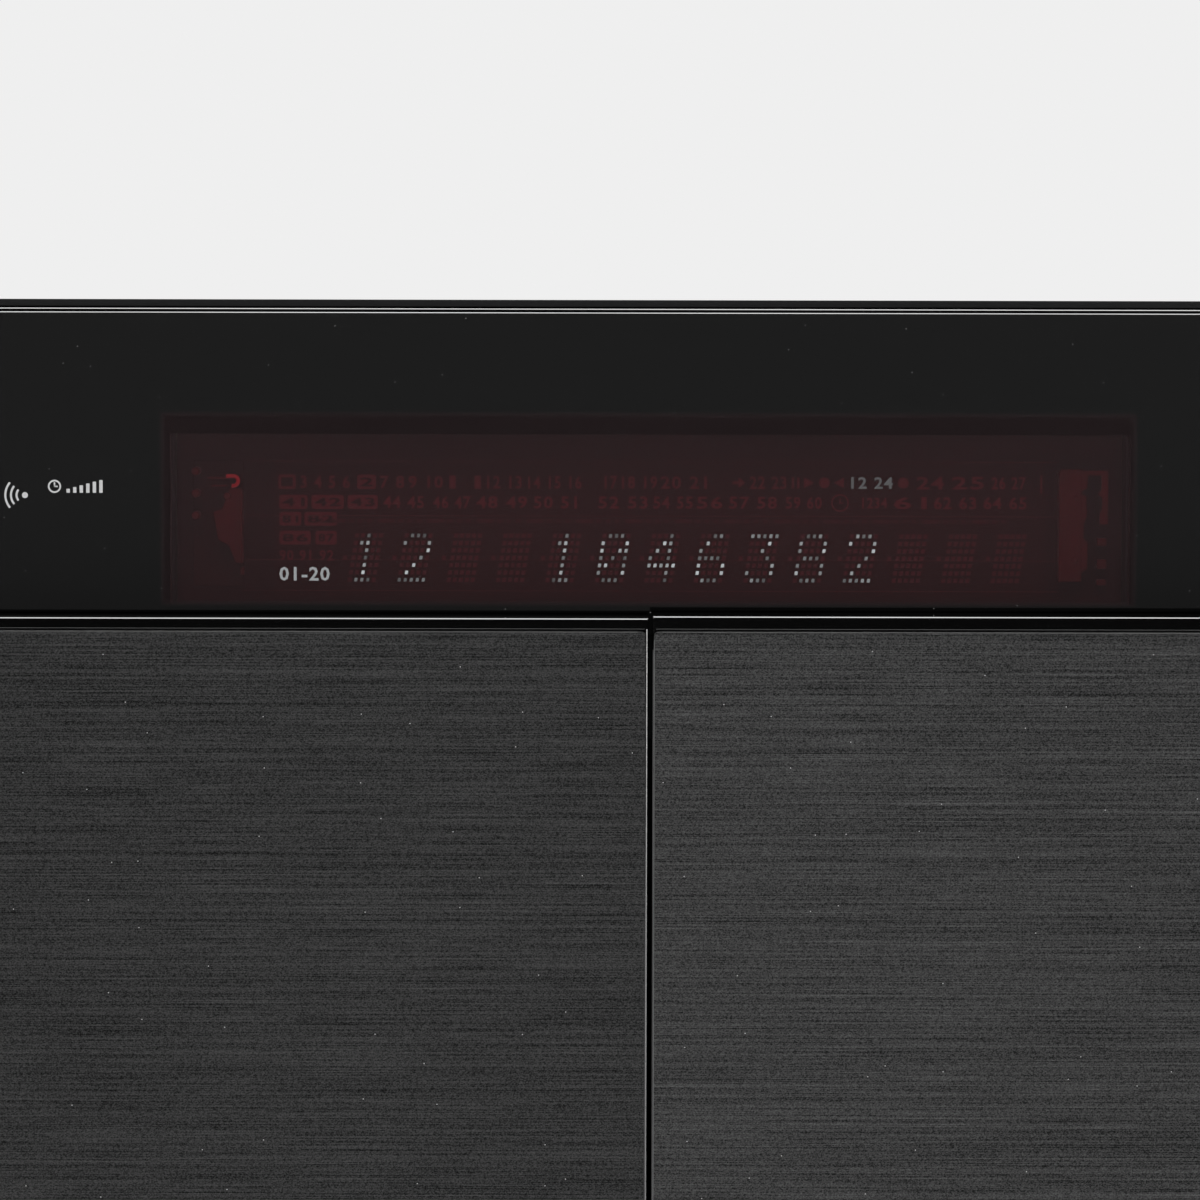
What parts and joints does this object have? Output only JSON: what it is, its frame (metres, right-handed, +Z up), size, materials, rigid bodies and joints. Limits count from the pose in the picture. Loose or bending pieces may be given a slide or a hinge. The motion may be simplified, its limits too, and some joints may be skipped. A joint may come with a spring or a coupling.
{
  "type": "cd stereo system main unit",
  "caption": "Main unit of a disc stereo: gloss display band with a dot matrix tube over two brushed sliding doors, a recess with keys behind them and a disc tray below.",
  "frame": {"origin": "middle of the footprint, on the plane that the feet stand on", "axes": "+Z up, -Y out of the front, +X to the right as the front is seen"},
  "size_m": [0.28, 0.3, 0.195],
  "materials": {
    "cover_paint": "fine textured dark grey paint",
    "gloss_black": "piano gloss black moulding",
    "smoked_acrylic": "polished smoked acrylic",
    "brushed_plate": "dark anodised, brushed along X",
    "matte_black": "fine spark eroded texture",
    "tube_glass": "clear tube glass over dark red phosphor",
    "tube_anodes": "dark red phosphor segments on black",
    "circuit_board": "green solder mask",
    "zinc_steel": "zinc plated sheet and turned steel",
    "white_nylon": "natural white nylon and acetal",
    "sink_aluminium": "plain extruded aluminium",
    "wound_core": "varnished laminations and wire",
    "foot_rubber": "soft black rubber"
  },
  "bodies": {
    "housing": {"bottom_chassis": "zinc_steel", "top_cover": "cover_paint", "rear_panel": "cover_paint", "foot_front_left": "foot_rubber", "foot_front_right": "foot_rubber", "foot_rear_left": "foot_rubber", "foot_rear_right": "foot_rubber", "front_frame": "matte_black", "display_panel": "smoked_acrylic", "display_tube_glass": "tube_glass", "display_tube_base": "tube_anodes", "display_holder": "matte_black", "display_board": "circuit_board", "door_rail_upper": "zinc_steel", "door_rail_lower": "zinc_steel", "door_motor": "zinc_steel", "bay_liner": "matte_black", "key_board": "circuit_board", "dock_cradle": "matte_black", "lower_fascia": "gloss_black", "headphone_socket": "zinc_steel", "usb_socket": "zinc_steel", "loader_chassis": "matte_black", "loader_motor": "zinc_steel", "clamp_bridge": "zinc_steel", "main_board": "circuit_board", "heat_sink": "sink_aluminium", "power_transformer": "wound_core", "fan_frame": "matte_black", "speaker_terminals": "matte_black", "input_sockets": "white_nylon", "mains_inlet": "matte_black"},
    "right_door": {"door_right_cover": "gloss_black", "door_right_plate": "brushed_plate", "door_right_shoe": "white_nylon", "door_right_carrier": "white_nylon"},
    "left_door": {"door_left_cover": "gloss_black", "door_left_plate": "brushed_plate", "door_left_shoe": "white_nylon", "door_left_carrier": "white_nylon"},
    "stepped_pinion": {"door_pinion": "white_nylon"},
    "motor_pinion": {"door_motor_pinion": "white_nylon"},
    "tray": {"disc_tray": "matte_black", "tray_front": "gloss_black"},
    "drive_gear": {"tray_drive_gear": "white_nylon"},
    "motor_gear": {"loader_motor_gear": "white_nylon"},
    "clamp": {"clamp_disc": "matte_black"},
    "traverse": {"traverse": "matte_black"},
    "platter": {"turntable": "white_nylon"},
    "sled": {"pickup_sled": "zinc_steel"},
    "fan": {"fan_rotor": "matte_black"},
    "volume": {"volume_knob": "brushed_plate"},
    "play": {"play_key": "gloss_black"},
    "stop": {"stop_key": "gloss_black"},
    "skip": {"skip_key": "gloss_black"},
    "source": {"source_key": "gloss_black"},
    "power": {"power_button": "brushed_plate"},
    "tray_switch": {"tray_button": "brushed_plate"}
  },
  "joints": [
    {"name": "door_right_slide", "type": "slide", "parent": "housing", "child": "right_door", "axis": [1, 0, 0], "range_m": [0, 0.07]},
    {"name": "door_left_slide", "type": "slide", "parent": "housing", "child": "left_door", "axis": [-1, 0, 0], "range_m": [0, 0.07]},
    {"name": "door_pinion_spin", "type": "hinge", "parent": "housing", "child": "stepped_pinion", "pos_m": [0, -0.11388, 0.1445], "axis": [0, 0, 1], "range_deg": [0, 456]},
    {"name": "door_motor_spin", "type": "hinge", "parent": "housing", "child": "motor_pinion", "pos_m": [0, -0.08858, 0.1435], "axis": [0, 0, 1], "range_deg": [-1642, 0]},
    {"name": "tray_slide", "type": "slide", "parent": "housing", "child": "tray", "axis": [0, -1, 0], "range_m": [0, 0.134]},
    {"name": "tray_gear_spin", "type": "hinge", "parent": "housing", "child": "drive_gear", "pos_m": [-0.0455, -0.1197, 0.028], "axis": [0, 0, 1], "range_deg": [0, 620]},
    {"name": "loader_motor_spin", "type": "hinge", "parent": "housing", "child": "motor_gear", "pos_m": [-0.02675, -0.1197, 0.028], "axis": [0, 0, 1], "range_deg": [-1240, 0]},
    {"name": "clamp_spin", "type": "hinge", "parent": "housing", "child": "clamp", "pos_m": [0, -0.068, 0.04], "axis": [0, 0, 1], "continuous": true},
    {"name": "traverse_tilt", "type": "hinge", "parent": "housing", "child": "traverse", "pos_m": [0, 0.01, 0.022], "axis": [1, 0, 0], "range_deg": [0, 3.5]},
    {"name": "turntable_spin", "type": "hinge", "parent": "traverse", "child": "platter", "pos_m": [0, -0.068, 0.036], "axis": [0, 0, 1], "continuous": true},
    {"name": "sled_slide", "type": "slide", "parent": "traverse", "child": "sled", "axis": [0, 1, 0], "range_m": [0, 0.033]},
    {"name": "fan_spin", "type": "hinge", "parent": "housing", "child": "fan", "pos_m": [-0.06, 0.1335, 0.125], "axis": [0, 1, 0], "continuous": true},
    {"name": "volume_turn", "type": "hinge", "parent": "housing", "child": "volume", "pos_m": [0.046, -0.108, 0.09927], "axis": [0, 1, 0], "continuous": true},
    {"name": "play_press", "type": "slide", "parent": "housing", "child": "play", "axis": [0, 1, 0], "range_m": [0, 0.0012], "stiffness_N_per_m": 400},
    {"name": "stop_press", "type": "slide", "parent": "housing", "child": "stop", "axis": [0, 1, 0], "range_m": [0, 0.0012], "stiffness_N_per_m": 400},
    {"name": "skip_press", "type": "slide", "parent": "housing", "child": "skip", "axis": [0, 1, 0], "range_m": [0, 0.0012], "stiffness_N_per_m": 400},
    {"name": "source_press", "type": "slide", "parent": "housing", "child": "source", "axis": [0, 1, 0], "range_m": [0, 0.0012], "stiffness_N_per_m": 400},
    {"name": "power_press", "type": "slide", "parent": "housing", "child": "power", "axis": [0, 1, 0], "range_m": [0, 0.001], "stiffness_N_per_m": 400},
    {"name": "tray_switch_press", "type": "slide", "parent": "housing", "child": "tray_switch", "axis": [0, 1, 0], "range_m": [0, 0.001], "stiffness_N_per_m": 400}
  ],
  "couplings": [
    {"joint": "door_left_slide", "follows": "door_right_slide", "ratio": 1},
    {"joint": "door_pinion_spin", "follows": "door_right_slide", "rad_per_m": 113.64},
    {"joint": "door_motor_spin", "follows": "door_right_slide", "rad_per_m": -409.09},
    {"joint": "tray_gear_spin", "follows": "tray_slide", "rad_per_m": 80},
    {"joint": "loader_motor_spin", "follows": "tray_slide", "rad_per_m": -160}
  ]
}
